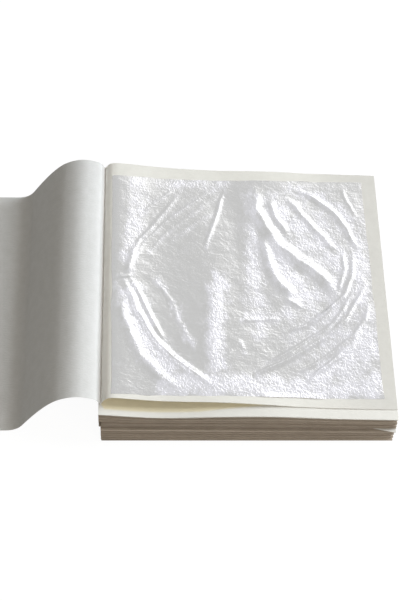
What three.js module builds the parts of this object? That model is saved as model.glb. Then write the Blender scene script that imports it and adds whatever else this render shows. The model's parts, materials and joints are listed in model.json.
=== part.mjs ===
// A pile of silver leaf booklets with the top one open at its first leaf.
// Millimetres. X runs from the spine to the fore-edge, Y away from the reader and Z up.
// The origin is the middle of the pile's underside.
import * as THREE from "three";

// Tissue paper and silver leaf
const leafSide = 140;
const leafBorder = 5; // tissue round a leaf
const foldAllowance = 1; // tissue that the fold and its glue take up
const paper = 0.25; // one thickness of tissue
const foil = 0.1;
const glue = 0.4; // glue film along a spine
const air = 0.1; // between sheets of one booklet
const restGap = 0.3; // between pieces that come apart

// Closed booklets from the bottom up, with their heights at the spine and at the fore-edge
const closedBooklets = [
  { name: "booklet_4", spine: 4.8, fore: 3.2, packets: 3 },
  { name: "booklet_3", spine: 4.2, fore: 3.2, packets: 3 },
  { name: "booklet_2", spine: 5.8, fore: 6.3, packets: 3 },
];
const closedTrim = 1.3; // a closed booklet is this much narrower than the open one
const closedStep = 1.1; // how far its spine is set in from the open one's
const uneven = 0.4; // how far packets stand in and out of line
const unevenTurn = 2.4; // radians from one packet's place in that to the next one's

// Open booklet: the block of sheets under the spread one
const openSpine = 12.8;
const openFore = 9.0;
const openPackets = 6;
const sagDepth = 2.4; // the block's top dips beside the spine
const sagAt = 29; // from the spine
const sagReach = 42;
const swellHeight = 0.8; // and swells again past the middle
const swellAt = 90;
const swellReach = 32;

// Spread sheet: its fold, and the page that carries the silver leaf
const foldInset = 1.2; // fold's place from the spine
const foldWidth = 1.0;
const foldBack = 5.7; // the spread sheet lies this much further from the reader
const liftPeakAt = 12; // the page bows up beside the fold
const liftFront = 7.3;
const liftBack = 5.5;
const liftRound = 3; // how round the rise is
const reachFront = 98; // where the bow has come down to the block
const reachBack = 62;
const reachRound = 1.3; // how round the way down is
const leafFromFold = 4.5;
const leafFromFront = 4.3;
const leafTwist = 1.5; // degrees that its front edge turns, as it was laid
const leafSideTwist = 0.55; // degrees that its sides turn, as no leaf is quite square

// Turned half: flat strips from the fold outwards, each leaning at its own angle above the
// fore-edge direction. It rises from the fold, crosses over and falls. The straight fall is as
// long as the drop to the table needs, and the last strip lies there with the rest of the sheet.
const riseWidth = 6.5;
const riseLean = 116;
const crownWidth = 11.6;
const crownLean = 168.5;
const shoulderWidth = 15.3;
const shoulderLean = 211.6;
const fallLean = 239.5;
const flatLean = 180;

// Steps along the curved sheets
const blockColumns = 30;
const pageColumns = 48;
const pageRows = 6;

const sheetDepth = leafSide + 2 * leafBorder; // along the spine
const sheetWidth = sheetDepth + foldAllowance; // from the spine to the fore-edge
const closedWidth = sheetWidth - closedTrim;
const blockLeft = -(sheetWidth - foldInset) / 2 - foldInset;
const foldX = blockLeft + foldInset;
const halfDepth = sheetDepth / 2;

const tissue = { color: 0xe8e5da, roughness: 0.85, metalness: 0 };
const silver = { color: 0xd9d9da, roughness: 0.3, metalness: 1 };
const edges = { color: 0xb5a893, roughness: 0.9, metalness: 0 };
const paste = { color: 0xcfc4a8, roughness: 0.7, metalness: 0 };

function piece(name, geometry, finish) {
  geometry.computeVertexNormals();
  const mesh = new THREE.Mesh(geometry, new THREE.MeshStandardMaterial(finish));
  mesh.name = name;
  return mesh;
}

// A thin piece: plan maps the unit square to x and y, and the two faces give z at each point.
function laid(plan, under, over, columns = 1, rows = 1) {
  const geometry = new THREE.BoxGeometry(1, 1, 1, columns, rows, 1);
  const at = geometry.attributes.position;
  for (let i = 0; i < at.count; i += 1) {
    const [x, y] = plan(at.getX(i) + 0.5, at.getY(i) + 0.5);
    const face = at.getZ(i) > 0 ? over : under;
    at.setXYZ(i, x, y, face(x, y));
  }
  return geometry;
}

function rectangle(left, right, front, back) {
  const { lerp } = THREE.MathUtils;
  return (u, v) => [lerp(left, right, u), lerp(front, back, v)];
}

// A straight slope from the spine to the fore-edge.
function slope(spineZ, foreZ) {
  return (x) => THREE.MathUtils.mapLinear(x, blockLeft, blockLeft + sheetWidth, spineZ, foreZ);
}

function raised(surface, height) {
  return (x, y) => surface(x, y) + height;
}

function between(low, high, share) {
  return (x, y) => THREE.MathUtils.lerp(low(x, y), high(x, y), share);
}

// One round hill, 1 at its middle and 0 from the reach on.
function hill(distance, reach) {
  return Math.abs(distance) < reach ? Math.cos((Math.PI * distance) / (2 * reach)) ** 2 : 0;
}

function jog(count) {
  return uneven * Math.sin(unevenTurn * count);
}

// Packets of folded sheets, stacked from one surface to another with air between them.
function packets(name, count, low, high, left, width, columns) {
  return Array.from({ length: count }, (_, i) => {
    const under = raised(between(low, high, i / count), air / 2);
    const over = raised(between(low, high, (i + 1) / count), -air / 2);
    const plan = rectangle(left, left + width + jog(i), -halfDepth + jog(i + 1), halfDepth + jog(i));
    return piece(`${name}_${count - i}`, laid(plan, under, over, columns), edges);
  });
}

function glueStrip(name, left, low, high) {
  const plan = rectangle(left - glue, left, -halfDepth + uneven, halfDepth - uneven);
  return piece(name, laid(plan, low, high), paste);
}

// The leaf of a closed sheet lies where the fold leaves it room.
function leafPlan(left, front) {
  return rectangle(left, left + leafSide, front, front + leafSide);
}

function closedBooklet({ name, packets: count }, low, high) {
  const left = blockLeft + closedStep;
  const plan = rectangle(left, left + closedWidth, -halfDepth, halfDepth);
  const margin = (closedWidth - leafSide) / 2;
  const group = new THREE.Group();
  const coverUnder = raised(high, -paper);
  const leafOver = raised(coverUnder, -air);
  const leafUnder = raised(leafOver, -foil);
  const backOver = raised(low, paper);
  const leaf = leafPlan(left + margin, -leafSide / 2);
  group.add(
    piece(`${name}_cover`, laid(plan, coverUnder, high), tissue),
    piece(`${name}_leaf`, laid(leaf, leafUnder, leafOver), silver),
    ...packets(`${name}_packet`, count, backOver, leafUnder, left, closedWidth - uneven, 1),
    piece(`${name}_back_sheet`, laid(plan, low, backOver), tissue),
    glueStrip(`${name}_spine_glue`, left, low, high),
  );
  return group;
}

// The block of the open booklet, whose sheets sag and swell more the higher they lie.
function openBlock(low, high) {
  const group = new THREE.Group();
  const plan = rectangle(blockLeft, blockLeft + sheetWidth, -halfDepth, halfDepth);
  const leafX = blockLeft + (sheetWidth - leafSide) / 2;
  const upperUnder = raised(high, -paper);
  const leafOver = raised(upperUnder, -air);
  const leafUnder = raised(leafOver, -foil);
  const lowerOver = raised(leafUnder, -air);
  const lowerUnder = raised(lowerOver, -paper);
  const backOver = raised(low, paper);
  const leaf = laid(leafPlan(leafX, -leafSide / 2), leafUnder, leafOver, blockColumns);
  const packetWidth = sheetWidth - uneven;
  group.add(
    piece("next_sheet_upper", laid(plan, upperUnder, high, blockColumns), tissue),
    piece("second_leaf", leaf, silver),
    piece("next_sheet_lower", laid(plan, lowerUnder, lowerOver, blockColumns), tissue),
    ...packets("open_packet", openPackets, backOver, lowerUnder, blockLeft, packetWidth, blockColumns),
    piece("open_back_sheet", laid(plan, low, backOver), tissue),
    glueStrip("open_spine_glue", blockLeft, low, high),
  );
  return group;
}

// How high the leaf page stands off the block: a steep rise from the fold and a long way down.
function pageLift(x, y) {
  const share = (y - foldBack + halfDepth) / sheetDepth;
  const peak = THREE.MathUtils.lerp(liftFront, liftBack, share);
  const reach = THREE.MathUtils.lerp(reachFront, reachBack, share);
  const out = x - foldX;
  if (out < liftPeakAt) return peak * (1 - (1 - out / liftPeakAt) ** liftRound);
  const down = Math.min((out - liftPeakAt) / (reach - liftPeakAt), 1);
  return peak * (1 - down ** reachRound);
}

function leafPage(blockTop) {
  const front = -halfDepth + foldBack;
  const under = (x, y) => blockTop(x, y) + restGap + pageLift(x, y);
  const over = raised(under, paper);
  const pageLeft = foldX + foldWidth / 2;
  const plan = rectangle(pageLeft, foldX + sheetWidth - foldInset, front, front + sheetDepth);
  const leafUnder = raised(over, restGap);
  const { degToRad } = THREE.MathUtils;
  const leafMiddle = new THREE.Vector2(foldX + leafFromFold, front + leafFromFront);
  leafMiddle.addScalar(leafSide / 2);
  const along = new THREE.Vector2(leafSide, 0).rotateAround(new THREE.Vector2(), degToRad(leafTwist));
  const across = new THREE.Vector2(0, leafSide).rotateAround(new THREE.Vector2(), degToRad(leafSideTwist));
  const leafAt = (u, v) => {
    const spot = leafMiddle.clone().addScaledVector(along, u - 0.5);
    return spot.addScaledVector(across, v - 0.5).toArray();
  };
  const leaf = laid(leafAt, leafUnder, raised(leafUnder, foil), pageColumns, pageRows);
  const group = new THREE.Group();
  group.add(
    piece("leaf_page", laid(plan, under, over, pageColumns, pageRows), tissue),
    piece("silver_leaf", leaf, silver),
  );
  return group;
}

// How far a strip comes down from its start to its end.
function dropOf({ width, lean }) {
  return -width * Math.sin(THREE.MathUtils.degToRad(lean));
}

function total(list, measure) {
  return list.reduce((sum, strip) => sum + measure(strip), 0);
}

// Every strip of the turned half, from the fold's height to the table.
function allStrips(foldZ) {
  const archStrips = [
    { width: riseWidth, lean: riseLean },
    { width: crownWidth, lean: crownLean },
    { width: shoulderWidth, lean: shoulderLean },
  ];
  const drop = foldZ - air - paper / 2 - total(archStrips, dropOf);
  const fallStrip = { width: drop / dropOf({ width: 1, lean: fallLean }), lean: fallLean };
  const standing = [...archStrips, fallStrip];
  const half = sheetWidth - foldInset - foldWidth / 2;
  return [...standing, { width: half - total(standing, (strip) => strip.width), lean: flatLean }];
}

// The turned half hangs from the fold as a chain: each strip's group turns about its crease and
// carries the next one. In its group a strip lies flat, with x away from the fold.
function turnedHalf(foldZ) {
  const top = new THREE.Group();
  top.position.set(foldX - foldWidth / 2, foldBack, foldZ);
  let parent = top;
  let before = { width: 0, lean: 0 };
  allStrips(foldZ).forEach((strip, i) => {
    const crease = new THREE.Group();
    crease.position.x = before.width;
    crease.rotation.y = THREE.MathUtils.degToRad(before.lean - strip.lean);
    const plan = rectangle(restGap / 2, strip.width - restGap / 2, -halfDepth, halfDepth);
    const flat = laid(plan, () => -paper / 2, () => paper / 2);
    crease.add(piece(`turned_half_${i + 1}`, flat, tissue));
    parent.add(crease);
    parent = crease;
    before = strip;
  });
  return top;
}

const booklets = new THREE.Group();
let spineZ = 0;
let foreZ = 0;
for (const booklet of closedBooklets) {
  const low = slope(spineZ, foreZ);
  spineZ += booklet.spine;
  foreZ += booklet.fore;
  booklets.add(closedBooklet(booklet, low, slope(spineZ - restGap, foreZ - restGap)));
}

const openLow = slope(spineZ, foreZ);
const openHigh = slope(spineZ + openSpine, foreZ + openFore);
const openTop = (x) => {
  const out = x - blockLeft;
  const dip = sagDepth * hill(out - sagAt, sagReach);
  return openHigh(x) - dip + swellHeight * hill(out - swellAt, swellReach);
};
booklets.add(openBlock(openLow, openTop));
booklets.add(leafPage(openTop));

const foldUnder = raised(openTop, air);
const foldFront = -halfDepth + foldBack;
const foldPlan = rectangle(
  foldX - foldWidth / 2 + restGap / 2,
  foldX + foldWidth / 2 - restGap / 2,
  foldFront,
  foldFront + sheetDepth - foldBack,
);
booklets.add(piece("sheet_fold", laid(foldPlan, foldUnder, raised(foldUnder, paper)), tissue));
booklets.add(turnedHalf(openTop(foldX) + air + paper));

export default booklets;
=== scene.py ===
# %% [markdown]
# A silver leaf booklet, opened on a pile of its kind.
# Gilders' leaf is sold between folded sheets of tissue. Here the top booklet lies open: one half
# of its first sheet is turned over the spine and falls to the table, the other half is the page
# that carries the leaf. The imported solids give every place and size, and this lesson dresses them.

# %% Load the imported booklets
import json
import math

import bmesh
import bpy
import numpy as np
from mathutils import Matrix, Vector


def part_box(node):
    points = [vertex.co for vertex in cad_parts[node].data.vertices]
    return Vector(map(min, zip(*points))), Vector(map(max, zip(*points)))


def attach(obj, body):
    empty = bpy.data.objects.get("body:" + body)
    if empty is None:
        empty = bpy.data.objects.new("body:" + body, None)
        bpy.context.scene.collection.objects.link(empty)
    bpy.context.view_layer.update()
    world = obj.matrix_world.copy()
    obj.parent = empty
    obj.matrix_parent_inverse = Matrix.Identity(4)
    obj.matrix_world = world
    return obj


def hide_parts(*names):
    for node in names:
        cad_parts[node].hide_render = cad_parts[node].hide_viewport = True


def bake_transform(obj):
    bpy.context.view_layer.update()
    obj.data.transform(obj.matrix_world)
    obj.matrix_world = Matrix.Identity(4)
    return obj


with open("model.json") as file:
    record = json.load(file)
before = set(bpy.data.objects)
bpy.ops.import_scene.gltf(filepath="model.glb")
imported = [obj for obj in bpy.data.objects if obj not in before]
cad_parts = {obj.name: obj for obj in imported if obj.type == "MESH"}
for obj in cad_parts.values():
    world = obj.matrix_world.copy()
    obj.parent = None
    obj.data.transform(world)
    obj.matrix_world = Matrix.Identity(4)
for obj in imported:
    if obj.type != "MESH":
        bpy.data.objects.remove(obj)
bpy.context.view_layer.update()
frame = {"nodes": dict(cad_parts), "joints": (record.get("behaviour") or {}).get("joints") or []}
MM = 0.001  # the frame is in metres, and the curves below are written in millimetres
closed_booklets = (2, 3, 4)  # counted from the open booklet at the top of the pile

# %% [markdown]
# Camera. The photograph looks down at the pile from the front, about 56 degrees below level and
# a little turned and tilted. A lens could be guessed and the object moved to suit, but the corners
# of the leaf fix the lens and the place together, so the camera takes both from them.

# %% Camera at the photograph's angle
photo_width, photo_height = 401, 601
focal_pixels = 1530
camera_place = Vector((-54.4, -448.9, 693.4)) * MM
look_down, look_aside, lean_over = math.radians(56.37), math.radians(3.94), math.radians(3.49)

camera_data = bpy.data.cameras.new("camera")
camera_data.sensor_width = 36
camera_data.lens = focal_pixels * camera_data.sensor_width / max(photo_width, photo_height)
camera_data.clip_start = 0.01
camera = bpy.data.objects.new("camera", camera_data)
aim = Matrix.Rotation(-look_aside, 4, "Z")
aim = aim @ Matrix.Rotation(math.pi / 2 - look_down, 4, "X")
aim = aim @ Matrix.Rotation(lean_over, 4, "Z")
camera.matrix_world = Matrix.Translation(camera_place) @ aim
bpy.context.collection.objects.link(camera)
bpy.context.scene.camera = camera
bpy.context.scene.view_settings.view_transform = "Standard"
print("lens", round(camera_data.lens, 2))

# %% [markdown]
# Light and table. The photograph has one broad cool light from the right, low enough to leave the
# turned sheet in shade, a weaker one from the front that reaches the near edges, and a white
# ground. Two large soft lamps do that, with a warm grey sky as fill. The white of the ground comes
# from what the camera and the metal see of it, not from more light.

# %% Soft lamps from the right and the front
def soft_lamp(name, way, far, wide, tall, energy, colour):
    """A rectangle of light that faces the pile from that way. The metal doesn't mirror it."""
    to_lamp = Vector(way).normalized()
    lamp_data = bpy.data.lights.new(name, "AREA")
    lamp_data.shape = "RECTANGLE"
    lamp_data.size = wide
    lamp_data.size_y = tall
    lamp_data.energy = energy
    lamp_data.color = colour
    lamp = bpy.data.objects.new(name, lamp_data)
    turned_to = to_lamp.to_track_quat("Z", "Y").to_matrix().to_4x4()
    lamp.matrix_world = Matrix.Translation(to_lamp * far) @ turned_to
    lamp.visible_glossy = False
    bpy.context.collection.objects.link(lamp)
    return lamp


window = soft_lamp("window_light", way=(0.78, 0.12, 0.52), far=1.8, wide=0.7, tall=1.5,
                   energy=41.5, colour=(0.90, 0.955, 1.0))
bounce = soft_lamp("bounce_light", way=(0.25, -0.75, 0.62), far=1.2, wide=1.2, tall=1.2,
                   energy=7.4, colour=(1.0, 0.965, 0.89))
print("lamps", window.name, bounce.name)


# %% Node helpers
def node_of(tree, kind, inputs=None, **settings):
    """A new node with its settings, and with plain values on the inputs that are named."""
    made = tree.nodes.new(kind)
    for name, value in settings.items():
        setattr(made, name, value)
    for name, value in (inputs or {}).items():
        made.inputs[name].default_value = value
    return made


def join(tree, source, target):
    tree.links.new(source, target)


def maths(tree, operation, first, second):
    made = node_of(tree, "ShaderNodeMath", operation=operation)
    for socket, value in zip(made.inputs, (first, second)):
        if isinstance(value, (int, float)):
            socket.default_value = value
        else:
            join(tree, value, socket)
    return made.outputs[0]


def graded(tree, value, stops):
    """A colour that goes through the stops, each a place from 0 to 1 and a colour."""
    made = node_of(tree, "ShaderNodeValToRGB")
    ramp = made.color_ramp.elements
    while len(ramp) < len(stops):
        ramp.new(0.5)
    for element, (place, colour) in zip(ramp, stops):
        element.position = place
        element.color = (*colour, 1)
    join(tree, value, made.inputs["Fac"])
    return made.outputs["Color"]


def between(tree, value, start, stop, at_start=0, at_stop=1, soft="SMOOTHSTEP"):
    """A value that goes from one level to another as its input goes from start to stop."""
    levels = {"From Min": start, "From Max": stop, "To Min": at_start, "To Max": at_stop}
    made = node_of(tree, "ShaderNodeMapRange", levels, interpolation_type=soft)
    join(tree, value, made.inputs["Value"])
    return made.outputs["Result"]


print("node helpers", node_of.__name__, maths.__name__, graded.__name__, between.__name__)


# %% What camera and metal see
def ray_kinds(tree):
    """Two switches: 1 for rays that metal or glass send on, and 1 for those or the camera's own."""
    path = node_of(tree, "ShaderNodeLightPath")
    shiny = maths(tree, "MAXIMUM", path.outputs["Is Glossy Ray"], path.outputs["Is Transmission Ray"])
    return shiny, maths(tree, "MAXIMUM", path.outputs["Is Camera Ray"], shiny)


def switched(tree, switch, off, on):
    """The shader called off where the switch is 0, and the one called on where it is 1."""
    made = node_of(tree, "ShaderNodeMixShader")
    join(tree, switch, made.inputs["Fac"])
    join(tree, off.outputs[0], made.inputs[1])
    join(tree, on.outputs[0], made.inputs[2])
    return made


print("ray switches", ray_kinds.__name__, switched.__name__)

# %% Grey sky that looks white, softly graded for the metal
bright_ways = [(0.45, 0.72, 0.53), (0.62, 0.74, 0.25), (0.72, 0.45, 0.52),
               (-0.70, -0.25, 0.67), (0.35, -0.72, 0.60), (-0.85, 0.42, 0.33)]
sky_levels = [(0.05, 0.24), (0.45, 0.34), (0.70, 0.435), (0.94, 0.475), (0.98, 1.0)]

world = bpy.data.worlds.new("studio")
world.use_nodes = True
bpy.context.scene.world = world
sky = world.node_tree
sky.nodes.clear()
fill = node_of(sky, "ShaderNodeBackground", {"Color": (1.0, 0.95, 0.835, 1), "Strength": 0.24})
plain = node_of(sky, "ShaderNodeBackground", {"Color": (1, 1, 1, 1)})
mirrored = node_of(sky, "ShaderNodeBackground", {"Strength": 2})
direction = node_of(sky, "ShaderNodeTexCoord").outputs["Generated"]
nearest = -1
for bright_way in bright_ways:
    along = node_of(sky, "ShaderNodeVectorMath", operation="DOT_PRODUCT")
    along.inputs[1].default_value = Vector(bright_way).normalized()
    join(sky, direction, along.inputs[0])
    nearest = maths(sky, "MAXIMUM", along.outputs["Value"], nearest)
sky_colours = [(place, (level, level, level * 1.01)) for place, level in sky_levels]
join(sky, graded(sky, nearest, sky_colours), mirrored.inputs["Color"])
shiny, seen = ray_kinds(sky)
whole = switched(sky, seen, fill, switched(sky, shiny, plain, mirrored))
join(sky, whole.outputs[0], node_of(sky, "ShaderNodeOutputWorld").inputs["Surface"])
print("sky fill", fill.inputs["Strength"].default_value)

# %% White table that keeps a faint shadow
table_half, table_drop = 2, 0.2 * MM  # metres each way, and just clear of the pile's underside

table_paint = bpy.data.materials.new("white_table")
table_paint.use_nodes = True
paint = table_paint.node_tree
paint.nodes.clear()
shaded = node_of(paint, "ShaderNodeBsdfDiffuse", {"Color": (0.09, 0.09, 0.09, 1)})
glow = node_of(paint, "ShaderNodeEmission", {"Strength": 0.945})
white = node_of(paint, "ShaderNodeAddShader")
join(paint, shaded.outputs[0], white.inputs[0])
join(paint, glow.outputs[0], white.inputs[1])
dull = node_of(paint, "ShaderNodeBsdfDiffuse", {"Color": (0.55, 0.55, 0.55, 1)})
either = switched(paint, ray_kinds(paint)[1], dull, white)
join(paint, either.outputs[0], node_of(paint, "ShaderNodeOutputMaterial").inputs["Surface"])

bm = bmesh.new()
bmesh.ops.create_grid(bm, x_segments=2, y_segments=2, size=table_half)
bmesh.ops.translate(bm, verts=bm.verts, vec=(0, 0, -table_drop))
table_mesh = bpy.data.meshes.new("table")
bm.to_mesh(table_mesh)
bm.free()
table = bpy.data.objects.new("table", table_mesh)
table_mesh.materials.append(table_paint)
bpy.context.collection.objects.link(table)
print("table faces", len(table_mesh.polygons))

# %% [markdown]
# Paper grain. Tissue shows fine fibres that run one way and faint clouds where the pulp is
# thicker. Both could be painted per sheet, but every sheet shares them, so one node group makes
# them once and each paper takes its own amount.

# %% Shared paper grain
grain = bpy.data.node_groups.new("paper_grain", "ShaderNodeTree")
grain.interface.new_socket("Vector", in_out="INPUT", socket_type="NodeSocketVector")
grain.interface.new_socket("Fibre", in_out="OUTPUT", socket_type="NodeSocketFloat")
grain.interface.new_socket("Cloud", in_out="OUTPUT", socket_type="NodeSocketFloat")
grain_in = node_of(grain, "NodeGroupInput")
grain_out = node_of(grain, "NodeGroupOutput")
stretch = node_of(grain, "ShaderNodeMapping", {"Scale": (420, 1500, 900)})
fibres = node_of(grain, "ShaderNodeTexNoise", {"Scale": 1, "Detail": 3, "Roughness": 0.65})
clouds = node_of(grain, "ShaderNodeTexNoise", {"Scale": 190, "Detail": 4})
join(grain, grain_in.outputs["Vector"], stretch.inputs["Vector"])
join(grain, stretch.outputs["Vector"], fibres.inputs["Vector"])
join(grain, grain_in.outputs["Vector"], clouds.inputs["Vector"])
join(grain, fibres.outputs["Fac"], grain_out.inputs["Fibre"])
join(grain, clouds.outputs["Fac"], grain_out.inputs["Cloud"])
print("grain sockets", len(grain.interface.items_tree))

# %% [markdown]
# Painted light and shade across a sheet. Light that comes through the thin paper beside the fold is
# painted as a paler strip, the page is painted greyer towards its fore-edge as painted shade, and
# the sheet under the page is painted warm as the shade in the gap, except for a lit white margin in
# front. Separate pieces would show seams, so these painted tints are laid over the flat map.

# %% Painted light and shade by place on the sheet
margin = (0.0024, 0.0040)  # metres from the front edge, where the lit white margin gives way to the painted warm shade
beside_fold = (0.0003, 0.0030)  # metres from the fold, where the margin is wider
past_gap = (0.050, 0.095)  # and where it widens again, as the gap under the page closes
wider = 0.0045
# metres from the fold over which the painted shade towards the page's fore-edge grows
to_fore_edge = (0.105, 0.145)


def tinted(tree, colour, mask, tint):
    """The colour times a tint where the mask is 1."""
    made = node_of(tree, "ShaderNodeMix", data_type="RGBA", blend_type="MULTIPLY")
    join(tree, mask, made.inputs[0])
    join(tree, colour, made.inputs[6])
    made.inputs[7].default_value = (*tint, 1)
    return made.outputs[2]


def painted_light_by_place(tree, spot, colour, inner, fold_side, fore_edge):
    """Lays the painted light and shade of a sheet over its colour. Each may be left out."""
    apart = node_of(tree, "ShaderNodeSeparateXYZ")
    join(tree, spot, apart.inputs[0])
    from_fold, from_front = apart.outputs["X"], apart.outputs["Y"]
    if inner:
        at_fold = between(tree, from_fold, *beside_fold, wider, 0, "LINEAR")
        at_end = between(tree, from_fold, *past_gap, 0, wider, "LINEAR")
        inside = maths(tree, "SUBTRACT", maths(tree, "SUBTRACT", from_front, at_fold), at_end)
        colour = tinted(tree, colour, between(tree, inside, *margin), inner)
    if fold_side:
        tint, start, stop = fold_side
        colour = tinted(tree, colour, between(tree, from_fold, start, stop, 1, 0), tint)
    if fore_edge:
        colour = tinted(tree, colour, between(tree, from_fold, *to_fore_edge), fore_edge)
    return colour


print("white margin", margin, "fore-edge from", to_fore_edge[0])


# %% Tissue and page-edge papers
def paper(name, dark, pale, on_sheet=True, own_tone=False, bump=0.25, **tints):
    """A matt paper between two colours, on the sheet's own flat map or on the object's own space."""
    made = bpy.data.materials.new(name)
    made.use_nodes = True
    tree = made.node_tree
    finish = tree.nodes["Principled BSDF"]
    finish.inputs["Roughness"].default_value = 0.85
    finish.inputs["Specular IOR Level"].default_value = 0.25
    if on_sheet:
        spot = node_of(tree, "ShaderNodeUVMap", uv_map="sheet").outputs["UV"]
    else:
        spot = node_of(tree, "ShaderNodeTexCoord").outputs["Object"]
    texture = node_of(tree, "ShaderNodeGroup", node_tree=grain)
    join(tree, spot, texture.inputs["Vector"])
    cloudy = maths(tree, "MULTIPLY", texture.outputs["Cloud"], 0.6)
    fine = maths(tree, "MULTIPLY", texture.outputs["Fibre"], 0.4)
    share = maths(tree, "ADD", cloudy, fine)
    ends = (0.3, 0.7)
    if own_tone:
        each = node_of(tree, "ShaderNodeAttribute", attribute_name="tone")
        some = maths(tree, "MULTIPLY", share, 0.35)
        most = maths(tree, "MULTIPLY", each.outputs["Fac"], 0.65)
        share = maths(tree, "ADD", some, most)
        ends = (0.15, 0.85)
    colour = graded(tree, share, list(zip(ends, (dark, pale))))
    if tints:
        wanted = [tints.get(tint) for tint in ("inner", "fold_side", "fore_edge")]
        colour = painted_light_by_place(tree, spot, colour, *wanted)
    join(tree, colour, finish.inputs["Base Color"])
    raised = node_of(tree, "ShaderNodeBump", {"Strength": bump, "Distance": 0.0002})
    join(tree, texture.outputs["Fibre"], raised.inputs["Height"])
    join(tree, raised.outputs["Normal"], finish.inputs["Normal"])
    return made


tissue = paper("tissue", (0.58, 0.578, 0.572), (0.645, 0.643, 0.645), bump=0.6)
# Painted light: the turned half's fold piece is painted paler beside the fold, for light through the
# tissue.
fold_tissue = paper("fold_tissue", (0.58, 0.578, 0.572), (0.645, 0.643, 0.645), bump=0.6,
                    fold_side=((1.4, 1.4, 1.4), 0.0005, 0.0035))
# Painted light beside the fold, and painted shade towards the fore-edge, on the page.
page_tissue = paper("page_tissue", (0.69, 0.675, 0.635), (0.75, 0.735, 0.695),
                    fold_side=((1.26, 1.26, 1.28), 0.003, 0.006), fore_edge=(0.86, 0.855, 0.86))
# Painted warm shade where the sheet lies under the page, behind a lit white margin.
next_tissue = paper("next_tissue", (0.70, 0.685, 0.65), (0.75, 0.735, 0.70),
                    inner=(1.06, 0.985, 0.765))
# Painted shade: the back sheets are tissue painted dark brown for the shade between the booklets.
packed_tissue = paper("packed_tissue", (0.30, 0.25, 0.205), (0.38, 0.32, 0.265), on_sheet=False)
# The cut edges are brown, painted darker than the paper as the shade in the gaps between sheets.
page_edges = paper("page_edges", (0.205, 0.165, 0.13), (0.47, 0.40, 0.335), on_sheet=False,
                   own_tone=True, bump=0.4)
print("papers", tissue.name, page_tissue.name, packed_tissue.name, page_edges.name)

# %% [markdown]
# Silver leaf. It is metal beaten so thin that it takes every crease of the tissue. Where it was
# handled it is crumpled into small bright facets, and elsewhere it lies smooth and satin. One even
# noise bump looks like cast metal, so a mark on the mesh says how crumpled each place is, and the
# finish turns with it from satin with faint beaten lines to shiny facets. The crumpled places are
# also painted brighter in the metal's colour, as a painted reflection with a painted sparkle grain.

# %% Textures for the silver
silver = bpy.data.materials.new("silver_leaf")
silver.use_nodes = True
metal = silver.node_tree
finish = metal.nodes["Principled BSDF"]
finish.inputs["Metallic"].default_value = 1
leaf_spot = node_of(metal, "ShaderNodeTexCoord").outputs["Object"]
crumpled = node_of(metal, "ShaderNodeAttribute", attribute_name="crumpled").outputs["Fac"]


def noise_at(scale, inputs, **settings):
    """A noise that is finer the larger the scale along an axis."""
    stretched = node_of(metal, "ShaderNodeMapping", {"Scale": scale})
    join(metal, leaf_spot, stretched.inputs["Vector"])
    made = node_of(metal, "ShaderNodeTexNoise", {"Scale": 1, **inputs}, **settings)
    join(metal, stretched.outputs["Vector"], made.inputs["Vector"])
    return made.outputs["Fac"]


def clouds_at(scale, detail):
    return noise_at(scale, {"Detail": detail, "Roughness": 0.6})


def ridges_at(scale, detail):
    sharp = {"Detail": detail, "Roughness": 0.55, "Lacunarity": 2.2, "Offset": 0.9, "Gain": 1.6,
             "Distortion": 0.5}
    return noise_at(scale, sharp, noise_type="RIDGED_MULTIFRACTAL")


def times(value, share):
    return maths(metal, "MULTIPLY", value, share)


def plus(value, other):
    return maths(metal, "ADD", value, other)


def about_zero(value):
    return maths(metal, "SUBTRACT", value, 0.5)


print("silver finish", silver.name)

# %% Fine relief of the silver
facets = times(times(ridges_at((700, 480, 600), 2), crumpled), 0.22)
crinkle = times(ridges_at((210, 320, 280), 3), plus(times(crumpled, 0.09), 0.062))
uneven = clouds_at((150, 150, 150), 4)
beaten = plus(times(clouds_at((140, 1500, 400), 2), 0.08), times(uneven, 0.25))
crackle = node_of(metal, "ShaderNodeBump", {"Strength": 1, "Distance": 0.00042})
join(metal, plus(facets, plus(crinkle, beaten)), crackle.inputs["Height"])
join(metal, crackle.outputs["Normal"], finish.inputs["Normal"])
rubbed = between(metal, crumpled, 0, 1, 0.18, 0.13, "LINEAR")
join(metal, rubbed, finish.inputs["Roughness"])
print("relief nodes", len(metal.nodes))

# %% Painted reflection: satin and bright places in the silver's colour
much = plus(crumpled, 0.3)
grainy = times(about_zero(clouds_at((1000, 700, 850), 2)), times(much, 0.6))
jagged = times(about_zero(clouds_at((420, 240, 330), 3)), times(much, 1.2))
patchy = plus(crumpled, plus(jagged, times(about_zero(uneven), much)))
# Painted reflection: the metal's colour is brighter where it is crumpled, for the light its facets catch,
# with a painted sparkle grain.
painted_glint_share = plus(between(metal, patchy, 0.05, 0.95), grainy)
painted_reflection = graded(metal, painted_glint_share, [(0.0, (0.607, 0.607, 0.597)), (1.0, (0.76, 0.76, 0.79))])
join(metal, painted_reflection, finish.inputs["Base Color"])
print("silver nodes", len(metal.nodes))

# %% [markdown]
# Paste. The folds of a booklet are held by a brushed line of paste, dried a dull yellow. A plain
# colour would look like plastic, so one streaky noise gives both its tone and its lumps.

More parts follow.
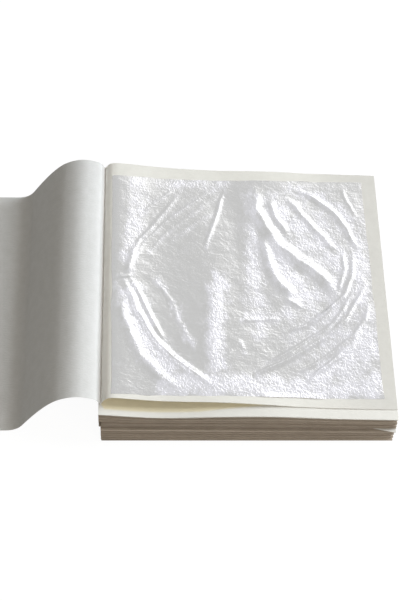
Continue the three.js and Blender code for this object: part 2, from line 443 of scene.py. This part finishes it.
# %% Paste finish
paste = bpy.data.materials.new("dried_paste")
paste.use_nodes = True
film = paste.node_tree
finish = film.nodes["Principled BSDF"]
finish.inputs["Roughness"].default_value = 0.6
streaks = node_of(film, "ShaderNodeTexNoise", {"Scale": 260, "Detail": 5})
join(film, node_of(film, "ShaderNodeTexCoord").outputs["Object"], streaks.inputs["Vector"])
yellow = graded(film, streaks.outputs["Fac"], [(0, (0.42, 0.36, 0.25)), (1, (0.68, 0.62, 0.48))])
join(film, yellow, finish.inputs["Base Color"])
lumps = node_of(film, "ShaderNodeBump", {"Strength": 0.5, "Distance": 0.0004})
join(film, streaks.outputs["Fac"], lumps.inputs["Height"])
join(film, lumps.outputs["Normal"], finish.inputs["Normal"])
print("paste nodes", len(film.nodes))

# %% [markdown]
# Sheets. Every sheet here is a flat square that something has bent, so one helper makes them all:
# a grid of the sheet's own size is laid on a curved surface and then given its thickness. It keeps
# a flat map of the sheet, so the fibres follow the paper round its bends.

# %% Lay a sheet on a curved surface
tissue_thick, leaf_thick = 0.12, 0.03
sharp_angle = 0.7  # radians, past which an edge is not shaded smooth


def lay_sheet(bm, columns, rows, place, thickness, flat, tone=0.5, crumple=None, spread=None):
    """Adds one sheet to bm. place(u, v) gives its upper face in millimetres over the unit square."""
    marks = bm.verts.layers.float.new("crumpled") if crumple else None
    corners = bmesh.ops.create_grid(bm, x_segments=columns, y_segments=rows, size=0.5)["verts"]
    u = np.clip([corner.co.x + 0.5 for corner in corners], 0, 1)
    v = np.clip([corner.co.y + 0.5 for corner in corners], 0, 1)
    if spread:
        u = spread(u)
    flat_map = bm.loops.layers.uv.get("sheet") or bm.loops.layers.uv.new("sheet")
    tones = bm.faces.layers.float.get("tone") or bm.faces.layers.float.new("tone")
    where = {}
    for number, (corner, a, b) in enumerate(zip(corners, u, v)):
        corner.index = -1 - number
        where[corner.index] = (a * flat[0] * MM, b * flat[1] * MM)
    for corner, spot in zip(corners, np.asarray(place(u, v)) * MM):
        corner.co = spot
    if crumple:
        for corner, mark in zip(corners, crumple(u, v)):
            corner[marks] = mark
    faces = list(dict.fromkeys(face for corner in corners for face in corner.link_faces))
    for face in faces:
        face[tones] = tone
        face.smooth = True
        for loop in face.loops:
            loop[flat_map].uv = where[loop.vert.index]
    bmesh.ops.solidify(bm, geom=faces, thickness=thickness * MM)


def finished(name, bm, material):
    """Turns bm into an object of that finish, with its faces outwards."""
    bmesh.ops.recalc_face_normals(bm, faces=bm.faces)
    for edge in bm.edges:
        edge.smooth = edge.calc_face_angle(0) < sharp_angle
    mesh = bpy.data.meshes.new(name)
    bm.to_mesh(mesh)
    bm.free()
    mesh.materials.append(material)
    made = bpy.data.objects.new(name, mesh)
    bpy.context.collection.objects.link(made)
    return made


print("sheets", tissue_thick, "mm thick, leaf", leaf_thick, "mm")


# %% Uneven surfaces
def ripple(x, y, size, seed):
    """A smooth uneven surface from -1 to 1 with bumps about that size apart, the same each time."""
    chance = np.random.default_rng(seed)
    waves, tallest = 7, 4.5
    total = 0
    for _ in range(waves):
        turn, phase = chance.uniform(0, 2 * math.pi, 2)
        wave = 2 * math.pi / (size * chance.uniform(0.8, 1.9))
        total = total + np.sin(wave * (x * math.cos(turn) + y * math.sin(turn)) + phase)
    return total / tallest


def stacked(x, y, z):
    return np.stack([x + 0 * z, y + 0 * z, z], axis=-1)


print("ripple at the origin", round(float(ripple(0.0, 0.0, 20, 1)), 3))

# %% [markdown]
# The open booklet's curves. Its block of sheets sags beside the spine and swells past the middle,
# and the page bows up beside the fold. The block has the same curve that its solids have. The page
# rises a little more steeply than its solid, as thin tissue does. Both are written for whole arrays
# of points, in millimetres.

# %% Curve of the block
block_width = 151
spine_height, edge_drop = 27.6, 5.9
sag_depth, sag_at, sag_reach = 2.4, 29, 42
swell_height, swell_at, swell_reach = 0.8, 90, 32
block_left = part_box("next_sheet_upper")[0].x / MM


def hill(distance, reach):
    return np.where(np.abs(distance) < reach, np.cos(np.pi * distance / (2 * reach)) ** 2, 0)


def block_top(x):
    out = x - block_left
    slope = spine_height - edge_drop * out / block_width
    sag = sag_depth * hill(out - sag_at, sag_reach)
    swell = swell_height * hill(out - swell_at, swell_reach)
    return slope - sag + swell


print("block height at the spine", round(float(block_top(block_left)), 2))

# %% Curve of the page
fold_x = block_left + 1.2
sheet_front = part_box("leaf_page")[0].y / MM
sheet_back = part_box("leaf_page")[1].y / MM
sheet_long = sheet_back - sheet_front
peak_front, peak_back = 7.3, 5.5  # how high the page bows at its front and back edges
reach_front, reach_back = 98, 62  # how far from the fold it comes down again
rise_reach, rise_steep = 12, 5.5
fall_curve, soft_landing = 1.3, 0.5
page_rest = 0.44  # the page's upper face over the block where it lies flat


def page_lift(x, y):
    share = (y - sheet_front) / sheet_long
    peak = peak_front + (peak_back - peak_front) * share
    reach = reach_front + (reach_back - reach_front) * share
    out = np.maximum(x - fold_x, 0)
    rise = peak * (1 - (1 - np.minimum(out / rise_reach, 1)) ** rise_steep)
    down = np.clip((out - rise_reach) / (reach - rise_reach), 0, 3)
    fall = peak * (1 - down ** fall_curve)
    landed = (fall + np.sqrt(fall ** 2 + soft_landing * np.minimum(down, 1) ** 4)) / 2
    return np.where(out < rise_reach, rise, landed)


def page_top(x, y):
    loose = np.clip((x - fold_x) / 10, 0, 1)
    return block_top(x) + page_rest + page_lift(x, y) + 0.09 * ripple(x, y, 38, 3) * loose


print("fold at", round(fold_x, 2), "page height there", round(float(page_top(fold_x, 0)), 2))

# %% [markdown]
# Turned half of the sheet. On the real booklet this is one piece of tissue, thrown over the spine.
# The solids carry it as five flat strips that hinge at their creases. Drawing the creases would
# look like folded card, so each piece here is a smooth bend over one crease that starts and ends
# on the strips.

# %% Creases of the turned half
tail_past = 0.15  # how far the sheet reaches past its last strip
crease = {}
for joint in frame["joints"]:
    if joint["child"].startswith("turn_"):
        at = joint["pos_m"]
        crease[int(joint["child"][-1])] = np.array([at[0], at[2]]) / MM
strips = len(crease)
tail_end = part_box(f"turned_half_{strips}")[0].x / MM - tail_past
crease[strips + 1] = np.array([tail_end, crease[strips][1]])
strip_way = {}
strip_width = {}
for k in range(1, strips + 1):
    step = crease[k + 1] - crease[k]
    strip_width[k] = float(np.hypot(*step))
    strip_way[k] = step / strip_width[k]
print("strip widths", [round(strip_width[k], 2) for k in strip_width])

# %% Where each bend starts and ends
foot = 6.0  # how far the bend at the table reaches each way
half = {k: strip_width[k] / 2 for k in strip_width}
before = {2: half[1], 3: half[2], 4: half[3], 5: foot}
after = {1: half[1], 2: half[2], 3: half[3], 4: 0.7 * strip_width[4], 5: foot}
bend_start = {1: np.array([fold_x, crease[1][1] - 0.05])}
bend_start.update({k: crease[k] - before[k] * strip_way[k - 1] for k in before})
bend_end = {k: crease[k] + after[k] * strip_way[k] for k in after}
bend_corner = {k: crease[k] for k in after}

# The real sheet rises straight from the fold, a little to the right of its first strip.
shoulder = np.array([0.1, 0.4])
bend_end[1] = bend_end[1] + shoulder
bend_start[2] = bend_end[1]
onward = crease[2] - bend_end[1]
bend_corner[1] = bend_end[1] - 2.0 * onward / np.hypot(*onward)
print("first bend from", np.round(bend_start[1], 2), "to", np.round(bend_end[1], 2))

# %% Smooth bends over the creases
bend_steps, flat_steps = 28, 24


def bend(start, corner, end, steps):
    t = np.linspace(0, 1, steps)[:, None]
    return (1 - t) ** 2 * start + 2 * t * (1 - t) * corner + t ** 2 * end


profiles = {}
for k in range(1, strips + 1):
    points = bend(bend_start[k], bend_corner[k], bend_end[k], bend_steps)
    stop = bend_start[k + 1] if k < strips else crease[strips + 1]
    if np.hypot(*(stop - bend_end[k])) > 0.05:
        points = np.vstack([points, np.linspace(bend_end[k], stop, flat_steps)[1:]])
    profiles[k] = points
print("points along each bend", [len(profiles[k]) for k in profiles])

# %% Turned half from the bends
sheet_rows = 60
wave_height, wave_size = 0.35, 55
wave_grown, wave_gone, wave_fades = 12, 60, 25  # millimetres of sheet, counted from the fold
bend_names = ["turned_fold", "turned_rise", "turned_crown", "turned_fall", "turned_tail"]
turned_length = []
run = 0.0
for k in range(1, strips + 1):
    points = profiles[k]
    steps = np.concatenate([[0], np.cumsum(np.hypot(*np.diff(points, axis=0).T))])
    length = float(steps[-1])

    def place(u, v, points=points, steps=steps, run=run, length=length):
        spot = u * length
        x = np.interp(spot, steps, points[:, 0])
        z = np.interp(spot, steps, points[:, 1])
        y = sheet_front + v * sheet_long
        gone = run + spot
        loose = np.clip(gone / wave_grown, 0, 1) * np.clip((wave_gone - gone) / wave_fades, 0, 1)
        return stacked(x, y, z + tissue_thick / 2 + loose * wave_height * ripple(gone, y, wave_size, 7))

    bm = bmesh.new()
    lay_sheet(bm, len(points) - 1, sheet_rows, place, tissue_thick, (length, sheet_long))
    piece = finished(bend_names[k - 1], bm, fold_tissue if k == 1 else tissue)
    lower = "open_booklet" if k == 1 else f"turn_{k - 1}"
    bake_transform(piece)
    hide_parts(f"turned_half_{k}")
    turned_length.append(length)
    run += length
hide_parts("sheet_fold")

# %% [markdown]
# Leaf page. The other half of the same sheet lies on the block and bows up steeply beside the
# fold. It is laid on the page's curve with more columns near the fold, where it bends most.

# %% Leaf page
page_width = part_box("leaf_page")[1].x / MM - fold_x


def page_place(u, v):
    x = fold_x + page_width * u
    y = sheet_front + v * sheet_long
    return stacked(x, y, page_top(x, y))


def crowded_at_fold(u):
    return 0.10 * u + 0.90 * u ** 2


bm = bmesh.new()
lay_sheet(bm, 150, sheet_rows, page_place, tissue_thick, (page_width, sheet_long), spread=crowded_at_fold)
leaf_page = finished("page_sheet", bm, page_tissue)
fold_height = float(page_top(fold_x, 0)) * MM
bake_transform(leaf_page)
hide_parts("leaf_page")
print("page faces", len(leaf_page.data.polygons))

# %% [markdown]
# Creases of the leaf. The photographed leaf has long curved creases that run round it like a ring,
# broad soft bands up its middle and a short straight crease at the left. Each is written as a line
# on the leaf's own square, in millimetres from its near left corner, with a height and a width.

# %% Crease lines of the leaf
leaf_side = 140
leaf_creases = [
    (0.80, 2.3, [(7, 69), (9.5, 62), (14, 50), (21.5, 35.5), (31, 23.5), (41.5, 14), (51.5, 6)]),
    (0.50, 1.6, [(10, 71), (15, 60), (21, 46), (27.5, 33)]),
    (0.45, 4.0, [(5, 58), (8, 40), (15, 23), (27, 9), (38, 2)]),
    (0.28, 1.4, [(10, 74), (10.5, 84), (15, 97), (22, 107), (29, 116), (36, 128)]),
    (0.17, 1.2, [(11, 74), (11, 82), (17, 95), (27, 108), (37, 117), (48, 127), (56, 133)]),
    (0.06, 1.3, [(27, 99), (37, 110), (47, 119), (58, 128)]),
    (0.30, 1.3, [(62, 132), (58, 118), (54, 106), (51, 93)]),
    (1.00, 4.6, [(80, 133), (79, 120), (84, 107), (91, 95), (100, 86), (109, 80), (116, 71), (120, 63)]),
    (0.70, 4.2, [(83, 103), (84, 88), (87, 75), (95, 64), (97, 61)]),
    (0.50, 2.4, [(97, 128), (102, 120), (109, 110), (116, 101), (122, 92)]),
    (0.60, 2.0, [(102, 134), (112, 129), (121, 121), (129, 108), (134, 95)]),
    (0.50, 2.6, [(88, 126), (90, 115), (96, 103)]),
    (0.20, 1.4, [(129, 135), (131, 126), (135, 116)]),
    (0.55, 1.8, [(131, 91), (130, 76), (124, 63), (114, 53), (104, 46)]),
    (0.70, 1.7, [(136, 71), (131, 60), (124, 48), (113, 37), (100, 28), (88, 21), (77, 15), (68, 9)]),
    (0.50, 1.5, [(129, 66), (123, 54), (113, 42), (100, 33), (87, 24), (78, 18)]),
    (0.35, 1.5, [(125, 92), (126, 81), (121, 65)]),
    (0.45, 1.7, [(133, 43), (126, 34), (117, 25), (106, 15), (101, 7)]),
    (0.25, 1.3, [(0, 71), (5, 72), (11, 73)]),
    (0.25, 1.3, [(68, 46), (78, 47), (88, 48)]),
    (0.12, 1.4, [(57, 19), (63, 29), (67, 33), (69, 26)]),
    (0.25, 6.0, [(55, 74), (54, 56), (52, 38), (53, 17)]),
    (0.15, 7.0, [(75, 126), (73, 100), (73, 73), (73, 51)]),
    (0.12, 1.3, [(24, 71), (32, 57), (37, 40), (42, 31)]),
    (0.40, 1.5, [(138, 60), (134, 48), (127, 38), (117, 29), (105, 20), (95, 14)]),
    (0.40, 1.5, [(128, 58), (120, 46), (110, 37), (98, 29), (86, 22)]),
    (0.40, 1.5, [(120, 60), (112, 50), (102, 44), (92, 40)]),
    (0.40, 1.5, [(131, 36), (122, 27), (112, 20), (104, 13)]),
    (0.05, 1.3, [(20, 88), (30, 103), (42, 114), (52, 122)]),
    (0.05, 1.3, [(33, 97), (44, 108), (54, 115)]),
    (0.16, 1.2, [(16, 115), (25, 124), (34, 132)]),
    (0.30, 1.8, [(92, 61), (97, 58), (101, 55)]),
    (0.40, 1.8, [(9, 75), (9.5, 83), (12, 92)]),
]
print("creases", len(leaf_creases))


# %% Distance from a line
def along_line(p, q, line):
    """How far each point is from a line of points, and what share of the line lies before it."""
    near = np.full(p.shape, 1e9)
    travel = np.zeros(p.shape)
    gone = 0.0
    for (ax, ay), (bx, by) in zip(line[:-1], line[1:]):
        dx, dy = bx - ax, by - ay
        long = math.hypot(dx, dy)
        t = np.clip(((p - ax) * dx + (q - ay) * dy) / long ** 2, 0, 1)
        away = np.hypot(p - ax - t * dx, q - ay - t * dy)
        travel = np.where(away < near, gone + t * long, travel)
        near = np.minimum(away, near)
        gone += long
    return near, travel / gone


def bell(near, width):
    return np.exp(-((near / width) ** 2))


near_corner = along_line(np.zeros(1), np.zeros(1), leaf_creases[0][2])[0][0]
print("first crease from the near left corner", round(float(near_corner), 1), "mm")

# %% Height of the leaf over its page
taller, narrower = 1.3, 0.65  # a crease seen from above looks lower and broader than it is
highest, edge_fade = 1.6, 5
front_curl = [(78, 0), (92, -0.5), (106, 0)]  # the front edge lifts a little here


def leaf_height(p, q):
    """Ridges along the creases, which fade out at their ends and at the edge of the leaf."""
    total = 0.08 * (1 + ripple(p, q, 26, 11)) + 0.04 * (1 + ripple(p, q, 7, 12))
    wander = p + 0.8 * ripple(p, q, 12, 13)
    for height, width, line in leaf_creases:
        near, share = along_line(wander, q, line)
        fade = np.clip(np.minimum(share, 1 - share) * 6, 0.15, 1)
        total = total + taller * height * fade * bell(near, narrower * width)
    inside = np.minimum(np.minimum(p, leaf_side - p), np.minimum(q, leaf_side - q))
    total = total * np.clip(inside / edge_fade, 0, 1)
    curl = 0.45 * bell(along_line(p, q, front_curl)[0], 2.2)
    return np.clip(total + curl, 0, highest)


sample = np.meshgrid(np.arange(leaf_side + 1.0), np.arange(leaf_side + 1.0))
print("tallest crease", round(float(leaf_height(*sample).max()), 2))

# %% Where the leaf is crumpled
crumple_bands = [
    (0.6, 5.5, [(13, 137), (15, 120), (12, 104), (9, 84)]),
    (0.5, 6, [(30, 135), (45, 137), (60, 136)]),
    (0.6, 6, [(100, 134), (118, 128), (132, 112), (135, 95)]),
    (0.7, 12, [(92, 120), (104, 108), (116, 95), (124, 82)]),
    (0.9, 9, [(88, 95), (92, 78), (100, 66)]),
    (1.0, 8, [(10, 62), (14, 42), (22, 25), (34, 11), (46, 4)]),
    (0.5, 3, [(24, 71), (32, 57), (37, 40), (42, 31)]),
    (1.0, 5.5, [(57, 72), (55, 56), (53, 38), (55, 17)]),
    (0.9, 8, [(30, 5), (60, 7), (90, 5), (120, 6), (138, 8)]),
    (0.8, 12, [(105, 10), (122, 20), (134, 35)]),
    (0.7, 6, [(134, 90), (133, 70), (136, 50)]),
    (0.5, 8, [(75, 60), (85, 50), (100, 50)]),
    (0.6, 7, [(78, 128), (77, 100), (76, 70), (77, 40)]),
    (0.9, 4, [(90, 124), (95, 110)]),
    (0.5, 35, [(115, 105), (118, 40)]),
]
least_crumpled, along_creases = 0.12, 0.3


def crumpled_at(p, q):
    """How crumpled the leaf is, from 0 to 1: most in the bands, whose edges are frayed."""
    most = np.full(p.shape, least_crumpled)
    frayed_p = p + 1.7 * ripple(p, q, 8, 15) + 0.9 * ripple(p, q, 4, 16)
    frayed_q = q + 1.7 * ripple(p, q, 9, 17)
    for amount, width, line in crumple_bands:
        most = np.maximum(most, amount * bell(along_line(frayed_p, frayed_q, line)[0], width))
    for _, _, line in leaf_creases:
        most = np.maximum(most, along_creases * bell(along_line(p, q, line)[0], 2.5))
    return np.clip(most * (1 + 0.35 * ripple(p, q, 9, 14)), 0, 1)


print("crumpled bands", len(crumple_bands))

# %% Silver leaf
leaf_middle = np.array([fold_x + 4.5, sheet_front + 4.3]) + leaf_side / 2
turn_along, turn_across = math.radians(1.5), math.radians(0.55)
taken_along, taken_across = 0.988, 0.991  # the creases take up a little of the leaf
ragged = 0.35  # how far its edge strays
leaf_clear = 0.06
leaf_cells = 210


def leaf_place(u, v):
    p = leaf_side * u + ragged * ripple(leaf_side * v, 0 * v, 14, 21) * (2 * u - 1)
    q = leaf_side * v + ragged * ripple(leaf_side * u, 0 * u, 16, 22) * (2 * v - 1)
    a = p * taken_along - leaf_side / 2
    b = q * taken_across - leaf_side / 2
    x = leaf_middle[0] + a * math.cos(turn_along) - b * math.sin(turn_across)
    y = leaf_middle[1] + a * math.sin(turn_along) + b * math.cos(turn_across)
    return stacked(x, y, page_top(x, y) + leaf_clear + leaf_height(p, q))


bm = bmesh.new()
lay_sheet(bm, leaf_cells, leaf_cells, leaf_place, leaf_thick, (leaf_side, leaf_side),
          crumple=lambda u, v: crumpled_at(leaf_side * u, leaf_side * v))
leaf = finished("silver_square", bm, silver)
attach(leaf, "leaf")
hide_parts("silver_leaf")
print("leaf faces", len(leaf.data.polygons))

# %% [markdown]
# Packets. A packet is several folded sheets with their leaves, and what shows of it is a stack of
# thin cut edges, none quite in line with the next. A block with a striped finish would stay smooth
# along its outline, so each packet is a real stack of sheets that fills the solid's own section.

# %% Section of a solid
def section(node):
    """Where a solid's under and upper faces lie along its width, in millimetres."""
    spots = np.round(np.array([v.co for v in frame["nodes"][node].data.vertices]) / MM, 3)
    columns = np.unique(spots[:, 0])
    low = np.array([spots[spots[:, 0] == c, 2].min() for c in columns])
    high = np.array([spots[spots[:, 0] == c, 2].max() for c in columns])
    return columns, low, high, spots[:, 1].min(), spots[:, 1].max()


print("a packet's section has", len(section("open_packet_1")[0]), "columns")


# %% Stack of sheets in a packet
layer_share = 0.78  # the rest of each layer's height is air


def packet(node, body, sheets, columns, seed, left_in, tones):
    """Replaces one packet by its sheets, each with its own edges and tone."""
    across, low, high, front, back = section(node)
    chance = np.random.default_rng(seed)
    bm = bmesh.new()
    pitch = float(np.mean(high - low)) / sheets
    for number in range(sheets):
        left = across[0] + left_in + abs(chance.normal(0, 0.10))
        right = across[-1] - abs(chance.normal(0, 0.18))
        near = front + abs(chance.normal(0, 0.16))
        far = back - abs(chance.normal(0, 0.16))
        turn = chance.normal(0, 0.0012)
        own = int(chance.integers(1 << 30))

        def place(u, v, number=number, left=left, right=right, near=near, far=far, turn=turn, own=own):
            x = left + u * (right - left)
            y = near + v * (far - near) + turn * x
            y = y + 0.10 * ripple(x, 0 * x, 40, own) * np.abs(2 * v - 1)
            share = (number + 0.9) / sheets
            low_here = np.interp(x, across, low)
            z = low_here + share * (np.interp(x, across, high) - low_here)
            return stacked(x, y, z + 0.05 * pitch * ripple(x, y, 35, own + 1))

        size = (right - left, far - near)
        lay_sheet(bm, columns, 6, place, pitch * layer_share, size, tone=chance.uniform(*tones))
    made = finished(node + "_sheets", bm, page_edges)
    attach(made, body)
    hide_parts(node)
    return made


print("share of a packet that is paper", layer_share)

# %% Packets of the open booklet
open_packets = []
for number in range(1, 7):
    # The two lowest packets are set in at the left and painted darker, as painted shade at the foot of
    # the open booklet.
    lower = number > 4
    open_packets.append(packet(
        f"open_packet_{number}", "open_booklet", sheets=7, columns=48, seed=40 + number,
        left_in=1.3 if lower else 0.0, tones=(0.4, 0.6) if lower else (0.55, 0.75)))
print("open booklet packets", len(open_packets))


# %% Packets of the closed booklets
def edge_tones_and_painted_shade(booklet, number):
    """Painted shade: the first packet under the open booklet is painted dark for the open booklet's
    shade, and each lowest packet is painted darker for the shade at the join below it.
    """
    if (booklet, number) == (2, 1):
        return 0.0, 0.25
    return (0.4, 0.7) if number == 3 else (0.6, 0.95)


closed_packets = []
for booklet in closed_booklets:
    for number in (1, 2, 3):
        closed_packets.append(packet(
            f"booklet_{booklet}_packet_{number}", f"booklet_{booklet}", sheets=4, columns=12,
            seed=60 + 10 * booklet + number, left_in=-0.3, tones=edge_tones_and_painted_shade(booklet, number)))
print("closed booklet packets", len(closed_packets))

# %% [markdown]
# Single sheets of the pile. The next folded sheet shows as a pale strip in front of the page, and
# the covers of the closed booklets show at their edges, a little out of line with what lies on
# them. They are sheets like the page, so they are laid in the same way.

# %% Next folded sheet under the page
loose_edge = 0.06  # the share of the sheet at its front and back that waves a little


def next_half(node, seed, lift):
    across, _, _, front, back = section(node)

    def place(u, v):
        x = across[0] + u * (across[-1] - across[0])
        y = front + v * (back - front)
        y = y + 0.12 * ripple(x, 0 * x, 60, seed) * np.abs(2 * v - 1)
        edge = np.clip((loose_edge - np.minimum(v, 1 - v)) / loose_edge, 0, 1)
        return stacked(x, y, block_top(x) + lift + 0.05 * edge * ripple(x, 0 * x, 22, seed + 1))

    bm = bmesh.new()
    lay_sheet(bm, 100, 40, place, tissue_thick, (across[-1] - across[0], back - front))
    made = finished(node + "_sheet", bm, next_tissue)
    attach(made, "open_booklet")
    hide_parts(node)
    return made


next_upper = next_half("next_sheet_upper", seed=31, lift=-0.03)
next_lower = next_half("next_sheet_lower", seed=33, lift=-0.50)
print("next folded sheet", next_upper.name, next_lower.name)


# %% Covers of the closed booklets
def cover(booklet, inset, skew, out, pulled):
    """A cover set in from its packets, skewed, and with its near right corner pulled out."""
    node, body = f"booklet_{booklet}_cover", f"booklet_{booklet}"
    across, _, high, front, back = section(node)

    def place(u, v):
        x = across[0] + u * (across[-1] - across[0] + out)
        corner = np.clip((u - 0.90) / 0.10, 0, 1) * (1 - v) ** 3
        y = front + inset + v * (back - front - 2 * inset) - skew * u - pulled * corner
        return stacked(x, y, np.interp(x, across, high) + 0.04 * ripple(x, y, 50, 35) - 0.05)

    bm = bmesh.new()
    lay_sheet(bm, 40, 20, place, tissue_thick, (across[-1] - across[0], back - front))
    # The covers take the page's paper, with its painted light beside the fold and painted shade at the
    # fore-edge.
    made = finished(node + "_sheet", bm, page_tissue)
    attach(made, body)
    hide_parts(node)
    return made


covers = {
    2: cover(2, inset=1.0, skew=0.0, out=0.0, pulled=3.2),
    3: cover(3, inset=1.6, skew=-0.4, out=-0.4, pulled=0.0),
    4: cover(4, inset=1.6, skew=0.4, out=-0.4, pulled=0.0),
}
print("covers", len(covers))

# %% [markdown]
# Paste along the spines. It is brushed on by hand, so the film swells and thins along its length.
# A flat strip would look printed, so a fine grid is laid on the spine and pushed out unevenly.

# %% Paste along the spines
paste_back = 0.25  # how far the film sinks between the folds, and stays clear of top and bottom
paste_thick, spine_long = 0.2, 150


def paste_line(node, body, seed):
    low_corner, high_corner = (np.array(corner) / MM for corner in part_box(node))
    _, long, tall = high_corner - low_corner

    def place(u, v):
        y = low_corner[1] + u * long
        z = low_corner[2] + paste_back + v * (tall - 2 * paste_back)
        thin = np.sin(np.pi * np.clip(v, 0.02, 0.98)) ** 0.5
        thin = thin * np.sin(np.pi * np.clip(u, 0.004, 0.996)) ** 0.15
        x = high_corner[0] + paste_back - thin * (0.45 + 0.18 * ripple(y, 3 * z, 9, seed))
        return stacked(x, y, z)

    bm = bmesh.new()
    lay_sheet(bm, 90, 10, place, paste_thick, (spine_long, tall))
    made = finished(node + "_line", bm, paste)
    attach(made, body)
    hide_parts(node)
    return made


paste_lines = [paste_line("open_spine_glue", "open_booklet", 51)]
for booklet in closed_booklets:
    paste_lines.append(paste_line(f"booklet_{booklet}_spine_glue", f"booklet_{booklet}", 51 + booklet))
print("paste lines", len(paste_lines))

# %% [markdown]
# Solids that stay. The hidden leaves and the back sheets are already flat pieces of the right
# shape, so they keep their solids and only take the finishes of the others.

# %% Finishes for the solids that stay
kept = {"second_leaf": silver, "open_back_sheet": packed_tissue}
for booklet in closed_booklets:
    kept[f"booklet_{booklet}_leaf"] = silver
    kept[f"booklet_{booklet}_back_sheet"] = packed_tissue
for name, material in kept.items():
    mesh = frame["nodes"][name].data
    mesh.materials.clear()
    mesh.materials.append(material)
print("solids kept", len(kept))

# %% [markdown]
# Cut sizes. Every loose sheet was cut flat before it was folded, turned or laid, and no bend may
# stretch it. The page and the turned half are the two halves of one folded sheet, and the leaf is a
# 140 mm square. The lengths of the page and of the turned half along their bends are printed.


def run_across(place):
    """The length of a laid sheet along its bends, from the spine to the far side."""
    t = np.linspace(0, 1, 4000)
    path = place(t, 0 * t + 0.5)
    return float(np.hypot(*np.diff(path[:, [0, 2]], axis=0).T).sum())


run_across(page_place)
print("page cut", round(run_across(page_place), 1), "turned half cut", round(sum(turned_length), 1))
